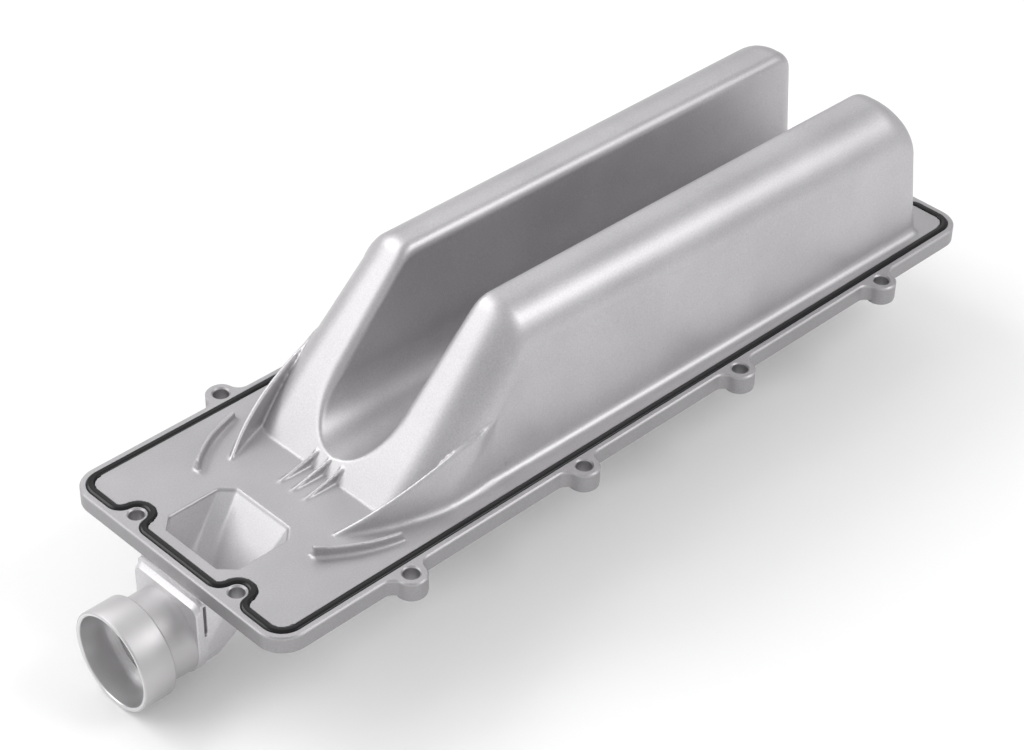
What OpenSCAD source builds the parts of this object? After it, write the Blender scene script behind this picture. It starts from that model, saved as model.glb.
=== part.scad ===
// Crankcase breather cover: one aluminium die casting with a bolted flange, two long
// hollow humps, a pocket that leads down into a hose socket, and a moulded rubber seal
// pressed into a groove round the flange.
// Origin: midway between the two front bolt holes, on the machined sealing face.
// +X runs to the rear, +Z points up over the humps. All sizes are in millimetres.

/* [Flange plate] */
// Length of the plate, front edge to rear edge
plate_l = 400; // [390:1:440]
// Width of the plate without its lugs
plate_w = 127; // [124:1:140]
// Thickness of the plate
plate_t = 8; // [6:0.5:8]
// Plan radius of the plate's corners
corner_r = 12; // [10:1:16]

/* [Bolt lugs] */
// Outer radius of a lug
lug_r = 6.5; // [5.5:0.1:8]
// Thickness of a lug, which reaches a little below the plate
lug_t = 9.2; // [8.2:0.1:13]
// Distance of a lug's hole outside the plate's edge
lug_out = 2.8; // [2:0.1:4]
// Hollow radius where a lug runs into the plate's edge
lug_root_r = 5; // [3:0.5:7]
// Diameter of a lug's bolt hole
lug_hole_d = 6.8; // [6:0.1:8]
// Distance from one lug to the next
lug_pitch = 92; // [80:1:96]
// Number of lugs on each long side
lugs_per_side = 4; // [2:1:4]
// First lug on the right side, from the plate's front edge
right_lug_x = 62; // [50:1:70]
// First lug on the left side, from the plate's front edge
left_lug_x = 79; // [60:1:84]

/* [End bolt holes] */
// Diameter of the holes at the front and rear edges
end_hole_d = 6.4; // [5:0.1:7]
// Distance of an end hole from the plate's edge
end_hole_inset = 8; // [7:0.5:9]
// Distance between the two holes at one end
end_hole_span = 60; // [54:1:64]

/* [Seal] */
// Distance of the seal's centreline from the plate's edge
seal_inset = 4.2; // [3.8:0.1:4.6]
// Width of the seal
seal_w = 3.2; // [2.6:0.1:3.8]
// Depth of the seal below the sealing face
seal_depth = 2.2; // [1.5:0.1:3]
// Height of the seal's bead above the sealing face
seal_proud = 0.6; // [0.4:0.1:1.2]
// Clearance of the seal at each side of its groove
seal_gap = 0.1; // [0.05:0.01:0.2]
// Radius of the seal's centreline round an end hole
seal_loop_r = 6; // [5.6:0.1:6.6]
// Radius where that loop turns back into the straight run
seal_root_r = 5; // [4:0.1:6]

/* [Humps] */
// Height of the humps above the sealing face, at the top of the ramp
hump_h = 66.5; // [50:0.5:80]
// Height that the tops lose from the ramp to the rear
hump_fall = 2.8; // [0:0.1:4]
// Foot of the ramp, from the plate's front edge
ramp_foot = 75.4; // [72:0.1:90]
// Slope of the ramp, in degrees
ramp_angle = 46; // [40:1:55]
// Distance of the humps' rear face from the plate's rear edge
rear_gap = 21.3; // [19:0.1:40]
// Width over both humps at the ramp, at the sealing face
humps_w_front = 96; // [92:0.5:100]
// Width over both humps at the rear, at the sealing face
humps_w_rear = 106; // [100:0.5:107]
// Draft of the outer walls, in degrees
outer_draft = 5; // [2:0.5:6]
// Wall thickness of the humps
wall = 3; // [2:0.1:4]
// Outer shoulder radius at the ramp
shoulder_front_r = 17; // [12:0.5:18]
// Outer shoulder radius at the rear
shoulder_rear_r = 21; // [14:0.5:22]
// Radius of the shoulders beside the valley
inner_shoulder_r = 5; // [4.5:0.1:7]
// Radius between the ramp and the tops
ramp_top_r = 12; // [8:0.5:20]
// Radius between the tops and the rear face
rear_top_r = 15; // [8:0.5:20]
// Radius of the outer upright corners at the rear
rear_corner_r = 4; // [3.5:0.1:6]
// Radius of the upright corners beside the valley at the rear
valley_corner_r = 11; // [5:0.5:12]
// Forward lean of the rear face, in degrees
rear_lean = 3; // [0:0.5:5]

/* [Valley] */
// Radius of the valley's round floor
valley_r = 18; // [15:0.5:20]
// Height of the valley's floor above the sealing face
valley_floor = 5.5; // [4:0.1:10]
// Draft of the valley's walls, in degrees
valley_draft = 2.5; // [1:0.5:4]

/* [Ribs] */
// Thickness of the side fins and the short ribs
rib_t = 1.9; // [1.5:0.1:3]
// Front tip of a side fin, from the plate's front edge
fin_tip_x = 54.2; // [50:0.1:60]
// Distance of a side fin's tip from the middle
fin_tip_y = 30.3; // [28:0.1:32]
// Length of a side fin
fin_l = 60; // [56:1:64]
// Height that a side fin reaches on the hump's wall
fin_h = 25; // [18:0.5:26]
// Front end of a short rib, from the plate's front edge
short_rib_x = 41.2; // [38:0.1:44]
// Distance of a short rib's front end from the middle
short_rib_y = 34.2; // [32:0.1:37]
// Length of a short rib along the plate
short_rib_l = 31.5; // [25:0.5:34]
// Height of a short rib at its front end
short_rib_h = 5; // [3:0.1:7]
// Number of gussets at the ramp's foot
gusset_count = 3; // [1:1:5]
// Distance from one gusset to the next
gusset_pitch = 7.4; // [6:0.1:9]
// Thickness of a gusset
gusset_t = 1.8; // [1.2:0.1:2.5]
// Length of a gusset in front of the ramp
gusset_l = 16.4; // [12:0.1:18]
// Height of a gusset where it meets the ramp
gusset_h = 5; // [3:0.1:5.4]

/* [Pocket] */
// Front edge of the pocket, from the plate's front edge
pocket_front = 11.3; // [10.5:0.1:13]
// Length of the pocket's mouth
pocket_l = 34.4; // [28:0.1:38]
// Width of the pocket's mouth
pocket_w = 41; // [36:0.5:44]
// Length of the mouth's cut-off corners
pocket_corner = 5; // [3:0.5:8]
// Wall thickness round the pocket and the duct
duct_wall = 3; // [2.4:0.1:4]

/* [Hose socket] */
// Depth of the socket's axis below the sealing face
neck_drop = 32; // [28:0.5:40]
// Reach of the socket's face in front of the plate
neck_reach = 30.3; // [26:0.1:40]
// Outer diameter of the socket's collar
collar_d = 42.8; // [41.5:0.1:46]
// Length of the collar
collar_l = 14.8; // [12:0.1:18]
// Bore of the socket
socket_d = 38.8; // [36:0.1:39.4]
// Depth of the socket
socket_l = 14; // [10:0.1:18]
// Outer diameter of the neck behind the collar
neck_d = 36.4; // [34:0.1:38]
// Bore of the duct behind the socket
duct_d = 30; // [24:0.1:30.4]
// Distance behind the plate's front edge at which the duct turns up to the pocket
duct_turn = 7.5; // [5:0.1:9]
// Reach of the neck's block in front of the plate
block_reach = 3; // [2:0.1:5]
// Length of the block's wider front shoulder
shoulder_l = 4.3; // [3:0.1:6]
// Step from the front shoulder down to the block's sides
shoulder_step = 0.7; // [0.3:0.1:1.2]

/* [Hidden] */
$fn = 64;
// Overlap of pieces that are cast together, and overrun of cuts
sink = 2;
// Steps of a drawn arc, and points across the valley's floor
arc_steps = 8;
valley_steps = 10;
groove_w = seal_w + 2 * seal_gap;
half_w = plate_w / 2;
rear_x = plate_l - rear_gap;
seal_corner_r = corner_r - seal_inset;
block_w = neck_d + 2 * shoulder_step;
// The short top of the block stands this far under the plate
block_drop = 2.4;

// Moves a shape that is drawn from the plate's front edge to the part's own origin
module from_front_edge() {
    translate([-end_hole_inset, 0, 0]) children();
}

// Both sides of the middle plane
module both_sides() {
    children();
    mirror([0, 1, 0]) children();
}

function mix(a, b, t) = a + (b - a) * t;
function clip(t) = max(0, min(1, t));
function bezier(a, b, c, t) = (1 - t) * (1 - t) * a + 2 * t * (1 - t) * b + t * t * c;
function arc(cx, cy, r, a0, a1, n = arc_steps) =
    [for (i = [0:n]) [cx + r * cos(mix(a0, a1, i / n)), cy + r * sin(mix(a0, a1, i / n))]];
function reversed(list) = [for (i = [len(list) - 1:-1:0]) list[i]];
function flipped_y(list) = [for (p = reversed(list)) [p[0], -p[1]]];
function flipped_x(list) = [for (p = reversed(list)) [plate_l - p[0], p[1]]];

// Skin of a solid that is lofted through rings of points, all with the same count. Each
// end is closed by a fan from the ring's first point and another from its last.
module loft(rings) {
    n = len(rings[0]);
    m = len(rings);
    mid = floor((n - 1) / 2);
    points = [for (ring = rings) for (p = ring) p];
    sides = [for (i = [0:m - 2]) for (j = [0:n - 1]) for (half = [0, 1])
        let (a = i * n + j, b = i * n + (j + 1) % n)
        half == 0 ? [a, b + n, b] : [a, a + n, b + n]];
    fan = concat([for (j = [1:1:mid - 1]) [0, j, j + 1]],
        [for (j = [mid:1:n - 3]) [n - 1, j, j + 1]], [[0, mid, n - 1]]);
    last = (m - 1) * n;
    back = [for (f = fan) [last + f[2], last + f[1], last + f[0]]];
    polyhedron(points = points, faces = concat(sides, fan, back), convexity = 6);
}

// Centreline of the seal, one quarter from the middle of the front edge round the end
// hole and the corner, then mirrored for the whole loop
loop_rise = sqrt(pow(seal_root_r + seal_loop_r, 2)
    - pow(seal_inset + seal_root_r - end_hole_inset, 2));
loop_angle = atan2(loop_rise, seal_inset + seal_root_r - end_hole_inset);
function seal_quarter() = concat(
    [[seal_inset, 0]],
    arc(seal_inset + seal_root_r, end_hole_span / 2 - loop_rise, seal_root_r,
        180, 180 - loop_angle, 5),
    arc(end_hole_inset, end_hole_span / 2, seal_loop_r, -loop_angle, loop_angle, 12),
    arc(seal_inset + seal_root_r, end_hole_span / 2 + loop_rise, seal_root_r,
        180 + loop_angle, 180, 5),
    arc(corner_r, half_w - corner_r, seal_corner_r, 180, 90, 7));
function without_repeats(list) = [for (i = [0:len(list) - 1])
    if (norm(list[i] - list[(i + len(list) - 1) % len(list)]) > 0.01) list[i]];
seal_half = concat(seal_quarter(), flipped_x(seal_quarter()));
seal_path = without_repeats(concat(seal_half, flipped_y(seal_half)));

// The same loop moved sideways by d
function beside(path, d) = [for (i = [0:len(path) - 1])
    let (n = len(path),
        before = path[(i + n - 1) % n],
        after = path[(i + 1) % n],
        run_in = (path[i] - before) / norm(path[i] - before),
        run_out = (after - path[i]) / norm(after - path[i]),
        middle = (run_in + run_out) / norm(run_in + run_out),
        stretch = 1 / (middle * run_in))
    path[i] + d * stretch * [middle[1], -middle[0]]];

module seal_groove() {
    translate([0, 0, -seal_depth - seal_gap]) linear_extrude(seal_depth + seal_gap + sink)
        difference() {
            polygon(beside(seal_path, -groove_w / 2));
            polygon(beside(seal_path, groove_w / 2));
        }
}

// Outline of the flange: its lugs with their hollow roots, and its four corners
root_y = lug_root_r - lug_out;
root_x = sqrt(pow(lug_r + lug_root_r, 2) - root_y * root_y);
root_angle = acos(root_x / (lug_r + lug_root_r));
function lug_outline(x) = concat(
    arc(x + root_x, half_w + lug_out + root_y, lug_root_r, -90, root_angle - 180, 5),
    arc(x, half_w + lug_out, lug_r, root_angle, 180 - root_angle, 12),
    arc(x - root_x, half_w + lug_out + root_y, lug_root_r, -root_angle, -90, 5));
function side_outline(first_x) = concat(
    arc(plate_l - corner_r, half_w - corner_r, corner_r, 0, 90, 7),
    [for (i = [lugs_per_side - 1:-1:0]) each lug_outline(first_x + i * lug_pitch)],
    arc(corner_r, half_w - corner_r, corner_r, 90, 180, 7));
flange_outline = without_repeats(
    concat(side_outline(left_lug_x), flipped_y(side_outline(right_lug_x))));

// A bolt hole through the full thickness
module bolt_hole(d) {
    translate([0, 0, -lug_t - sink]) cylinder(d = d, h = lug_t + 2 * sink);
}

module at_lugs() {
    for (i = [0:lugs_per_side - 1]) {
        translate([right_lug_x + i * lug_pitch, -half_w - lug_out, 0]) rotate(180) children();
        translate([left_lug_x + i * lug_pitch, half_w + lug_out, 0]) children();
    }
}

module at_end_holes() {
    for (x = [end_hole_inset, plate_l - end_hole_inset])
        for (side = [-1, 1])
            translate([x, side * end_hole_span / 2, 0]) children();
}

module flange() {
    translate([0, 0, -plate_t]) linear_extrude(plate_t) polygon(flange_outline);
    at_lugs() translate([0, 0, -lug_t]) cylinder(r = lug_r - 0.2, h = lug_t - 1);
}

// Side view of the humps, drawn k inside their outer skin: the height of the top at x
function foot_x(k) = ramp_foot + k / sin(ramp_angle);
function knee_x(k) = foot_x(k) + (hump_h - k) / tan(ramp_angle);
function knee_run(k) = (ramp_top_r - k) * tan(ramp_angle / 2);
function plateau(x, k) = hump_h - k - hump_fall * clip((x - knee_x(0)) / (rear_x - knee_x(0)));
function top_z(x, k) =
    x < knee_x(k) - knee_run(k) * cos(ramp_angle) ? (x - foot_x(k)) * tan(ramp_angle) :
    x < knee_x(k) + knee_run(k)
        ? hump_h - ramp_top_r + sqrt(max(0, pow(ramp_top_r - k, 2)
            - pow(knee_x(k) + knee_run(k) - x, 2))) :
    x < rear_x - rear_top_r ? plateau(x, k) :
    plateau(x, k) - (rear_top_r - k) + sqrt(max(0, pow(rear_top_r - k, 2)
        - pow(x - rear_x + rear_top_r, 2)));
// Slope of the top at x, which stretches the outer shoulder along the ramp
function top_slope(x, k) =
    x < knee_x(k) - knee_run(k) * cos(ramp_angle) ? ramp_angle :
    x < knee_x(k) + knee_run(k) ? asin((knee_x(k) + knee_run(k) - x) / (ramp_top_r - k)) : 0;
// An upright rear corner of radius r draws its wall in by this much
function corner_draw(x, k, r) = x < rear_x - r ? 0 :
    r - k - sqrt(max(0, pow(r - k, 2) - pow(x - rear_x + r, 2)));

// Half of one cross-section, from the outer wall's foot to the middle of the valley
function half_section(x, k, base_z) =
    let (h = top_z(x, k),
        along = clip((x - ramp_foot) / (rear_x - ramp_foot)),
        lean = tan(outer_draft),
        wall_y = mix(humps_w_front, humps_w_rear, along) / 2 - k
            - corner_draw(x, k, rear_corner_r),
        r = valley_r + k + corner_draw(x, k, valley_corner_r),
        fillet = inner_shoulder_r - k,
        room = wall_y - lean * h - r - fillet - h * tan(valley_draft),
        shoulder = min(mix(shoulder_front_r, shoulder_rear_r, along) - k, max(2, room)),
        tall = shoulder / cos(top_slope(x, k)),
        centre_z = h - tall,
        centre_y = wall_y - lean * max(0, centre_z) - shoulder,
        start = asin(clip((base_z - centre_z) / tall)),
        vz = valley_floor + valley_r,
        drop = vz - (h - fillet),
        reach = r + fillet,
        sunk = drop > reach - 0.01,
        turn = sunk ? 90 : drop > 0 ? asin(drop / reach) : 0,
        fillet_y = sunk ? 0 : drop > 0 ? reach * cos(turn) : reach - drop * tan(valley_draft))
    concat(
        [[wall_y - lean * base_z * (start > 0 ? 0 : 1) + (start > 0
            ? centre_y + shoulder * cos(start) - wall_y : 0), base_z]],
        [for (i = [1:arc_steps]) let (a = mix(start, 90, i / arc_steps))
            [centre_y + shoulder * cos(a), centre_z + tall * sin(a)]],
        sunk
            ? [for (i = [0:arc_steps / 2 + valley_steps]) [2 - 2 * i / (arc_steps / 2 + valley_steps), h]]
            : concat(
                [for (i = [0:arc_steps / 2]) let (a = mix(90, 180 - turn, 2 * i / arc_steps))
                    [fillet_y + fillet * cos(a), h - fillet + fillet * sin(a)]],
                [for (i = [1:valley_steps]) let (a = mix(-turn, -90, i / valley_steps))
                    [r * cos(a), vz + r * sin(a)]]));

// The rear face leans forward, and the rest follows over the last stretch
function leaned(x, z) = x - z * tan(rear_lean) * clip((x - rear_x + 60) / 60);
function section_ring(x, k, base_z) =
    let (half = half_section(x, k, base_z))
    concat([for (p = half) [leaned(x, p[1]), p[0], p[1]]],
        [for (i = [len(half) - 2:-1:0]) [leaned(x, half[i][1]), -half[i][0], half[i][1]]]);

// Stations along the humps: up the ramp, over its top, along the tops, round the rear
function stations(k, low_z) = concat(
    [foot_x(k) + low_z / tan(ramp_angle)],
    [for (z = [(valley_floor - k) / 2, valley_floor - k]) foot_x(k) + z / tan(ramp_angle)],
    [for (i = [1:9]) mix(foot_x(k) + (valley_floor - k) / tan(ramp_angle),
        knee_x(k) - knee_run(k) * cos(ramp_angle), pow(i / 9, 1.6))],
    [for (a = [ramp_angle * 0.75, ramp_angle * 0.5, ramp_angle * 0.25, 0])
        knee_x(k) + knee_run(k) - (ramp_top_r - k) * sin(a)],
    [for (i = [1, 2]) mix(knee_x(0) + knee_run(0), rear_x - 60, i / 2)],
    [for (a = [0, 18, 36, 50, 60, 70, 80, 90])
        rear_x - rear_top_r + (rear_top_r - k) * sin(a)]);

module humps(k, base_z, low_z) {
    loft([for (x = stations(k, low_z)) section_ring(x, k, base_z)]);
}

// Outer skin of a hump at height z
function skin_y(x, z) =
    let (along = clip((x - ramp_foot) / (rear_x - ramp_foot)),
        shoulder = mix(shoulder_front_r, shoulder_rear_r, along),
        tall = shoulder / cos(top_slope(x, 0)),
        centre_z = top_z(x, 0) - tall,
        wall_y = mix(humps_w_front, humps_w_rear, along) / 2,
        up = (z - centre_z) / tall)
    up >= 1 ? 0 :
    up < 0 ? wall_y - tan(outer_draft) * z :
    wall_y - tan(outer_draft) * max(0, centre_z) - shoulder + shoulder * sqrt(1 - up * up);

// Thin curved fin from the plate up the side of a hump, leaning in towards its top. Its
// outer face stands clear of the hump's skin, and its last ring lies inside the hump.
module side_fin() {
    clear = 0.5;
    bow = 0.15;
    x_end = fin_tip_x + fin_l;
    foot_end = skin_y(x_end, 0) + clear;
    top_end = skin_y(x_end, fin_h) + clear - rib_t / 2;
    loft(concat(
        [for (i = [0:arc_steps]) let (t = i / arc_steps,
            x = bezier(fin_tip_x, fin_tip_x + 0.41 * fin_l, x_end, t),
            foot_y = bezier(fin_tip_y + rib_t / 2, foot_end + 1.6, foot_end, t),
            top_y = bezier(fin_tip_y, top_end - 0.3, top_end, t),
            top = fin_h * t * (1.1 - 0.1 * t))
            concat(
                [for (f = [0, 0.35, 0.6, 0.8, 1]) let (z = mix(-sink, top, f))
                    [x, bow * sin(180 * f)
                        + max(mix(foot_y, top_y + rib_t / 2, f), skin_y(x, z) + clear), z]],
                [[x, top_y - rib_t / 2, top], [x, top_y - rib_t, -sink]])],
        [[for (f = [0, 0.35, 0.6, 0.8, 1]) let (z = mix(-sink, fin_h, f))
            [x_end + 4, bow * sin(180 * f) + skin_y(x_end + 4, z) - 2, z],
          each [[x_end + 4, skin_y(x_end + 4, fin_h) - 4, fin_h],
            [x_end + 4, skin_y(x_end + 4, fin_h) - 4, -sink]]]]));
}

// Low curved rib on the plate, highest at its front end
module short_rib() {
    end_y = short_rib_y + short_rib_l / 2;
    loft([for (i = [0:arc_steps]) let (t = i / arc_steps,
        x = bezier(short_rib_x, short_rib_x + 0.43 * short_rib_l, short_rib_x + short_rib_l, t),
        y = bezier(short_rib_y, short_rib_y + 0.38 * short_rib_l, end_y, t),
        z = mix(short_rib_h, 1.2, t))
        [[x, y + rib_t, -sink], [x, y + rib_t / 2, z],
         [x, y - rib_t / 2, z], [x, y - rib_t, -sink]]]);
}

module gussets() {
    run = gusset_l + gusset_h / tan(ramp_angle);
    for (i = [0:gusset_count - 1])
        translate([0, (i - (gusset_count - 1) / 2) * gusset_pitch + gusset_t / 2, 0])
            rotate([90, 0, 0]) linear_extrude(gusset_t)
                polygon([[ramp_foot - gusset_l, -sink], [ramp_foot - gusset_l, 0],
                    [ramp_foot - gusset_l + run, gusset_h],
                    [ramp_foot - gusset_l + run + sink, -sink]]);
}

// Octagonal outline of the pocket's mouth, grown by g
module mouth_outline(g) {
    x0 = pocket_front - g;
    x1 = pocket_front + pocket_l + g;
    y = pocket_w / 2 + g;
    c = pocket_corner;
    polygon([[x0 + c, -y], [x1 - c, -y], [x1, -y + c], [x1, y - c],
        [x1 - c, y], [x0 + c, y], [x0, y - c], [x0, -y + c]]);
}

// Body of the duct under the plate, from the pocket's walls down to the neck
module duct_block() {
    hull() {
        translate([0, 0, -neck_drop]) rotate([0, 90, 0])
            cylinder(d = neck_d, h = duct_turn + duct_wall / 2, $fn = 32);
        translate([0, 0, -plate_t]) linear_extrude(1)
            difference() {
                mouth_outline(duct_wall - 1);
                translate([-plate_l, -plate_w]) square([plate_l, 2 * plate_w]);
            }
        translate([0, -neck_d / 2, -plate_t]) cube([sink, neck_d, 1]);
    }
    translate([-block_reach, 0, 0]) {
        translate([0, 0, -neck_drop]) rotate([0, 90, 0]) cylinder(d = block_w, h = shoulder_l);
        translate([0, -block_w / 2, -neck_drop])
            cube([shoulder_l, block_w, neck_drop - plate_t - block_drop]);
    }
    translate([0, -block_w / 2, -plate_t - block_drop - sink])
        cube([shoulder_l - block_reach, block_w, block_drop + 2 * sink]);
}

// Neck and collar, turned about the socket's axis
module neck() {
    edge = 0.6;
    translate([-neck_reach, 0, -neck_drop]) rotate([0, 90, 0]) rotate_extrude()
        polygon([[0, 0], [collar_d / 2 - edge, 0], [collar_d / 2, edge],
            [collar_d / 2, collar_l - 2 * edge], [collar_d / 2 - 2 * edge, collar_l],
            [neck_d / 2, collar_l + edge], [neck_d / 2, neck_reach], [0, neck_reach]]);
}

module duct_bores() {
    translate([-neck_reach, 0, -neck_drop]) rotate([0, 90, 0]) {
        translate([0, 0, -sink]) cylinder(d = socket_d, h = sink + socket_l);
        cylinder(d = duct_d, h = neck_reach + duct_turn - 1);
    }
}

module pocket() {
    hull() {
        linear_extrude(sink) mouth_outline(0);
        translate([duct_turn - duct_wall, 0, -neck_drop]) rotate([0, 90, 0])
            cylinder(d = duct_d - 1, h = duct_wall, $fn = 32);
    }
}

module housing() {
    color("silver") from_front_edge() difference() {
        union() {
            flange();
            humps(0, -sink, -1);
            both_sides() {
                side_fin();
                short_rib();
            }
            gussets();
            duct_block();
            neck();
        }
        humps(wall, -plate_t - sink, -plate_t - 1);
        pocket();
        duct_bores();
        at_lugs() bolt_hole(lug_hole_d);
        at_end_holes() bolt_hole(end_hole_d);
        seal_groove();
    }
}

// Rubber seal with straight flanks and a round bead, swept round its groove
module seal() {
    bead = [[-1, -seal_depth], [1, -seal_depth], [1, 0], [0.8, 0.55 * seal_proud],
        [0.35, seal_proud], [-0.35, seal_proud], [-0.8, 0.55 * seal_proud], [-1, 0]];
    n = len(bead);
    m = len(seal_path);
    tracks = [for (p = bead) beside(seal_path, -p[0] * seal_w / 2)];
    color([0.12, 0.12, 0.13]) from_front_edge() polyhedron(
        points = [for (i = [0:m - 1]) for (j = [0:n - 1])
            [tracks[j][i][0], tracks[j][i][1], bead[j][1]]],
        faces = [for (i = [0:m - 1]) for (j = [0:n - 1]) for (half = [0, 1])
            let (a = i * n + j, b = i * n + (j + 1) % n,
                c = ((i + 1) % m) * n + (j + 1) % n, d = ((i + 1) % m) * n + j)
            half == 0 ? [a, c, b] : [a, d, c]],
        convexity = 8);
}

housing();
seal();
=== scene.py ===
import math

import bmesh
import bpy
import numpy as np
from mathutils import Matrix, Vector
from mathutils.geometry import tessellate_polygon


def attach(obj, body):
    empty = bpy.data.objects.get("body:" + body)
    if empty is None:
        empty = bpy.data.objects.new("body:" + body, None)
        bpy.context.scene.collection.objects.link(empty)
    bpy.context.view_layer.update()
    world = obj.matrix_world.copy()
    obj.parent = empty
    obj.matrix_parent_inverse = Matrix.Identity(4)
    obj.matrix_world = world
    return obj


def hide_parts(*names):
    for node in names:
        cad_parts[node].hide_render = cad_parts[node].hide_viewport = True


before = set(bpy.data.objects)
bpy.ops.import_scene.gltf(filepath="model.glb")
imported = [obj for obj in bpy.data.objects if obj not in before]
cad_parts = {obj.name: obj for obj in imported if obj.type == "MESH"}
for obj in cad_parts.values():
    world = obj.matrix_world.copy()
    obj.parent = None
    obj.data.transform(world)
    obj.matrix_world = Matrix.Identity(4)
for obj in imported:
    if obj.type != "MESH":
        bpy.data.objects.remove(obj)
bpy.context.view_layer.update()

# Camera: stands off the cover's front right corner and looks down along it at 38 degrees,
# through a long lens, with the slight tilt of a hand-held frame.
CAMERA_PLACE = (-0.4254, -0.59425, 0.64328)
CAMERA_RIGHT = (0.71541167, -0.6984661, 0.01820041)
CAMERA_UP = (0.41632669, 0.44705749, 0.7917144)
FOCAL_LENGTH = 90.26

camera_data = bpy.data.cameras.new("camera")
camera_data.sensor_width = 36.0
camera_data.lens = FOCAL_LENGTH
camera_data.clip_start = 0.05
camera_data.clip_end = 20.0
camera = bpy.data.objects.new("camera", camera_data)
bpy.context.scene.collection.objects.link(camera)
right, up = Vector(CAMERA_RIGHT), Vector(CAMERA_UP)
camera.matrix_world = (Matrix.Translation(CAMERA_PLACE)
                       @ Matrix((right, up, right.cross(up))).transposed().to_4x4())
bpy.context.scene.camera = camera

# Finish of the casting: aluminium from a die, blasted to an even satin on the humps and
# ground on the flange's face. Under the face the colour is painted paler, as painted light
# in the pocket and on the block under the flange, and darker round the rim, as painted
# shade on its sides, groove, holes and underside.


class Value:
    """One output of a shader node, so that arithmetic on it adds Math nodes."""

    def __init__(self, finish, socket):
        self.finish, self.socket = finish, socket

    def _math(self, operation, a, b=None):
        return self.finish.node("ShaderNodeMath", {"operation": operation},
                                {0: a} if b is None else {0: a, 1: b})

    def __add__(self, other):
        return self._math("ADD", self, other)

    def __sub__(self, other):
        return self._math("SUBTRACT", self, other)

    def __rsub__(self, other):
        return self._math("SUBTRACT", other, self)

    def __mul__(self, other):
        return self._math("MULTIPLY", self, other)

    def __truediv__(self, other):
        return self._math("DIVIDE", self, other)

    __radd__, __rmul__ = __add__, __mul__

    def clamp(self):
        return self.finish.node("ShaderNodeClamp", {}, {"Value": self})


class Finish:
    """A material under construction: its nodes are added one call at a time."""

    def __init__(self, name):
        self.material = bpy.data.materials.new(name)
        self.material.use_nodes = True
        self.tree = self.material.node_tree
        self.shader = self.tree.nodes["Principled BSDF"]

    def node(self, kind, settings, inputs, output=0):
        made = self.tree.nodes.new(kind)
        for key, value in settings.items():
            if key == "ramp":
                ramp = made.color_ramp
                while len(ramp.elements) < len(value):
                    ramp.elements.new(0.5)
                for stop, (place, level) in zip(ramp.elements, value):
                    stop.position = place
                    stop.color = (level, level, level, 1.0)
            else:
                setattr(made, key, value)
        for key, value in inputs.items():
            self.put(made.inputs[key], value)
        return Value(self, made.outputs[output])

    def put(self, socket, value):
        if isinstance(value, Value):
            self.tree.links.new(value.socket, socket)
        else:
            socket.default_value = value

    def set(self, **inputs):
        for name, value in inputs.items():
            self.put(self.shader.inputs[name.replace("_", " ")], value)

    def place(self):
        return self.node("ShaderNodeTexCoord", {}, {}, "Object")

    def noise(self, place, scale, detail=2.0, roughness=0.5):
        return self.node("ShaderNodeTexNoise", {}, {"Vector": place, "Scale": scale,
                                                    "Detail": detail, "Roughness": roughness})

    def ramp(self, value, stops):
        return self.node("ShaderNodeValToRGB", {"ramp": stops}, {"Fac": value})

    def mix(self, factor, a, b):
        return self.node("ShaderNodeMix", {"data_type": "RGBA"},
                         {"Factor": factor, 6: a, 7: b}, 2)

    def bump(self, height, distance, strength):
        return self.node("ShaderNodeBump", {}, {"Height": height, "Distance": distance,
                                                "Strength": strength})


BLASTED = ((0.49, 0.478, 0.49, 1.0), (0.61, 0.597, 0.61, 1.0))
GROUND = ((0.42, 0.41, 0.42, 1.0), (0.51, 0.498, 0.51, 1.0))
# Paler colour under the casting's face: painted light in the pocket and on the block and shoulder
# under the flange.
PAINTED_LIGHT_UNDER_FACE = ((0.65, 0.638, 0.65, 1.0), (0.76, 0.748, 0.76, 1.0))
# Darker colour on the rim's sides, groove, holes and underside, and on the lug bosses: painted
# shade.
PAINTED_SHADE_RIM_SIDES = ((0.33, 0.322, 0.33, 1.0), (0.41, 0.4, 0.41, 1.0))
FACE_TOP, FACE_FOOT, SKIN_FADE = 0.0003, 0.0008, 0.0006
TOOTH = 0.00004


def cast_finish(name, above, painted_below):
    """One skin above the flange's face, ground metal on the face, and under the face a painted
    colour: paler as painted light, or darker as painted shade.
    """
    skin = Finish(name)
    place = skin.place()
    height = skin.node("ShaderNodeSeparateXYZ", {}, {"Vector": place}, "Z")
    over = ((height - FACE_TOP) / SKIN_FADE).clamp()
    under = ((height * -1.0 - FACE_FOOT) / SKIN_FADE).clamp()
    clouds = skin.noise(place, 28.0, 3.0)
    grain = skin.noise(place, 1500.0, 2.0, 0.6)
    orange_peel = skin.noise(place, 420.0, 1.0)
    shade = skin.ramp((clouds * 0.45 + grain * 0.55).clamp(), [(0.35, 0.0), (0.65, 1.0)])
    face = skin.mix(over, skin.mix(shade, *GROUND), skin.mix(shade, *above))
    skin.set(Base_Color=skin.mix(under, face, skin.mix(shade, *painted_below)),
             Roughness=0.4 + clouds * 0.08 + grain * 0.06,
             Normal=skin.bump(grain * 0.7 + orange_peel * 0.5, TOOTH, 0.5),
             Metallic=0.85)
    return skin.material


# The casting is painted paler under its face, as painted light in the pocket and under the flange.
CAST = cast_finish("cast_aluminium", BLASTED, PAINTED_LIGHT_UNDER_FACE)
# The rim is painted darker under its face, as painted shade on its sides, groove, holes, underside
# and bosses.
RIM = cast_finish("cast_rim", GROUND, PAINTED_SHADE_RIM_SIDES)

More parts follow.
